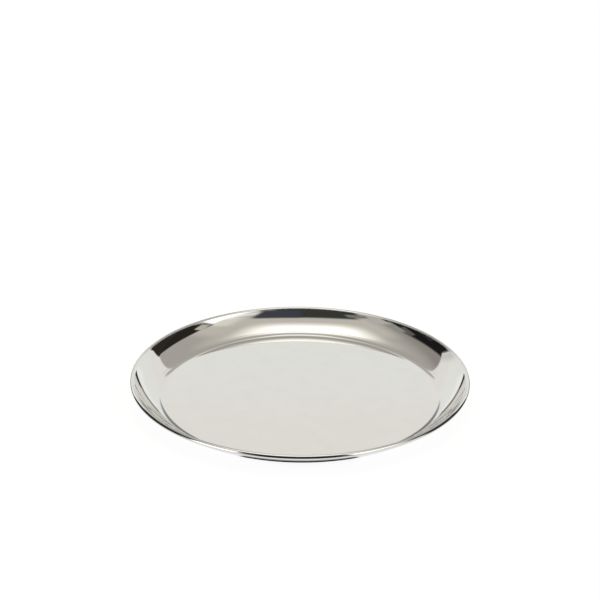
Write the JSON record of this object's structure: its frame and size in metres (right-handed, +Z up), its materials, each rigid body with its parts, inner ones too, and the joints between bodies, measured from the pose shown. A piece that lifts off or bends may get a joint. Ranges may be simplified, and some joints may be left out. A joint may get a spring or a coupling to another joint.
{
  "type": "coin tray",
  "caption": "Round shallow coin tray of mirror-polished stainless steel with a flat floor, an upswept wall and a thin wired rim.",
  "frame": {"origin": "centre of the tray's flat underside, on the surface that it rests on", "axes": "+Z up, along the tray's axis of revolution, out of the open side; X and Y are any two square directions in the plane that it rests on, and the picture looks along +Y"},
  "size_m": [0.14, 0.14, 0.0088],
  "materials": {
    "polished_steel": "mirror-polished stainless steel with faint hairline handling marks",
    "wire_steel": "drawn steel wire, unpolished, hidden inside the rolled rim"
  },
  "bodies": {
    "root": {"tray_pan": "polished_steel", "rim_wire": "wire_steel"}
  },
  "joints": []
}
